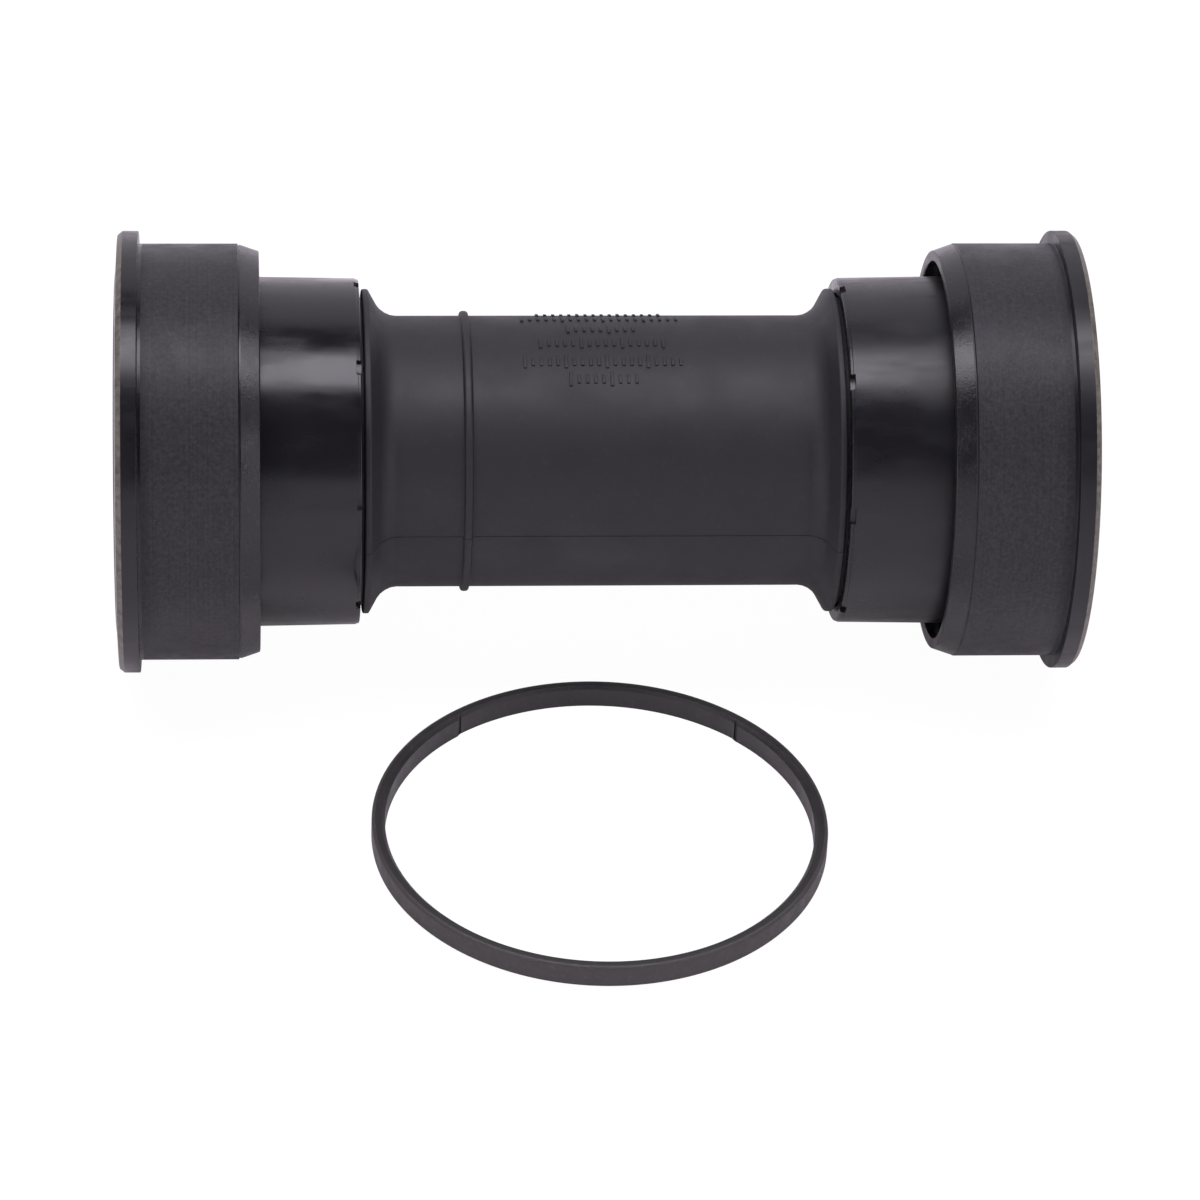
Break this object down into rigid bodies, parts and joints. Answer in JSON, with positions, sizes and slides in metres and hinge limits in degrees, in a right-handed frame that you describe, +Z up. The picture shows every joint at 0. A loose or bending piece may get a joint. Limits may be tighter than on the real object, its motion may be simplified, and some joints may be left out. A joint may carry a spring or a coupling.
{
  "type": "bottom bracket",
  "caption": "Press-fit bottom bracket with flanged sealed-bearing cups on the ends of a plastic sleeve, and a loose flat spacer ring lying beside it.",
  "frame": {"origin": "middle of the set's footprint, on the surface it lies on", "axes": "+X along the spindle axis from the left cup to the right cup, +Y from the loose spacer towards the bracket, +Z up"},
  "size_m": [0.0948, 0.0778, 0.0435],
  "materials": {
    "cup_nylon": "black glass-filled nylon; press surface turned matte, the rest semi-gloss as moulded",
    "sleeve_plastic": "satin black moulded plastic",
    "spacer_plastic": "satin black moulded plastic",
    "cover_plastic": "semi-gloss black moulded plastic",
    "bearing_steel": "ground bearing steel",
    "ball_steel": "polished bearing steel",
    "cage_nylon": "tan nylon",
    "seal_rubber": "matte black nitrile rubber",
    "o_ring_rubber": "satin black nitrile rubber"
  },
  "bodies": {
    "sleeve": {"inner_sleeve": "sleeve_plastic", "left_o_ring": "o_ring_rubber", "right_o_ring": "o_ring_rubber"},
    "left_cup": {"left_cup": "cup_nylon", "left_bearing_outer_ring": "bearing_steel", "left_bearing_outboard_seal": "seal_rubber", "left_bearing_inboard_seal": "seal_rubber"},
    "left_inner": {"left_bearing_inner_ring": "bearing_steel", "left_dust_cover": "cover_plastic"},
    "left_balls": {"left_bearing_cage": "cage_nylon", "left_ball_01": "ball_steel", "left_ball_02": "ball_steel", "left_ball_03": "ball_steel", "left_ball_04": "ball_steel", "left_ball_05": "ball_steel", "left_ball_06": "ball_steel", "left_ball_07": "ball_steel", "left_ball_08": "ball_steel", "left_ball_09": "ball_steel", "left_ball_10": "ball_steel", "left_ball_11": "ball_steel", "left_ball_12": "ball_steel", "left_ball_13": "ball_steel", "left_ball_14": "ball_steel", "left_ball_15": "ball_steel"},
    "right_cup": {"right_cup": "cup_nylon", "right_bearing_outer_ring": "bearing_steel", "right_bearing_outboard_seal": "seal_rubber", "right_bearing_inboard_seal": "seal_rubber"},
    "right_inner": {"right_bearing_inner_ring": "bearing_steel", "right_dust_cover": "cover_plastic"},
    "right_balls": {"right_bearing_cage": "cage_nylon", "right_ball_01": "ball_steel", "right_ball_02": "ball_steel", "right_ball_03": "ball_steel", "right_ball_04": "ball_steel", "right_ball_05": "ball_steel", "right_ball_06": "ball_steel", "right_ball_07": "ball_steel", "right_ball_08": "ball_steel", "right_ball_09": "ball_steel", "right_ball_10": "ball_steel", "right_ball_11": "ball_steel", "right_ball_12": "ball_steel", "right_ball_13": "ball_steel", "right_ball_14": "ball_steel", "right_ball_15": "ball_steel"},
    "spacer": {"shell_spacer": "spacer_plastic"}
  },
  "joints": [
    {"name": "left_cup_slide", "type": "slide", "parent": "sleeve", "child": "left_cup", "axis": [-1, 0, 0], "range_m": [0, 0.02]},
    {"name": "left_inner_spin", "type": "hinge", "parent": "left_cup", "child": "left_inner", "pos_m": [-0.04262, 0.01717, 0.02175], "axis": [1, 0, 0], "continuous": true},
    {"name": "left_cage_spin", "type": "hinge", "parent": "left_cup", "child": "left_balls", "pos_m": [-0.04262, 0.01717, 0.02175], "axis": [1, 0, 0], "continuous": true},
    {"name": "right_cup_slide", "type": "slide", "parent": "sleeve", "child": "right_cup", "axis": [1, 0, 0], "range_m": [0, 0.02]},
    {"name": "right_inner_spin", "type": "hinge", "parent": "right_cup", "child": "right_inner", "pos_m": [0.04262, 0.01717, 0.02175], "axis": [1, 0, 0], "continuous": true},
    {"name": "right_cage_spin", "type": "hinge", "parent": "right_cup", "child": "right_balls", "pos_m": [0.04262, 0.01717, 0.02175], "axis": [1, 0, 0], "continuous": true},
    {"name": "spacer_slide", "type": "slide", "parent": "sleeve", "child": "spacer", "axis": [0, -1, 0], "range_m": [0, 0.05]}
  ],
  "couplings": [
    {"joint": "left_cage_spin", "follows": "left_inner_spin", "ratio": 0.4435},
    {"joint": "right_cage_spin", "follows": "right_inner_spin", "ratio": 0.4435}
  ]
}
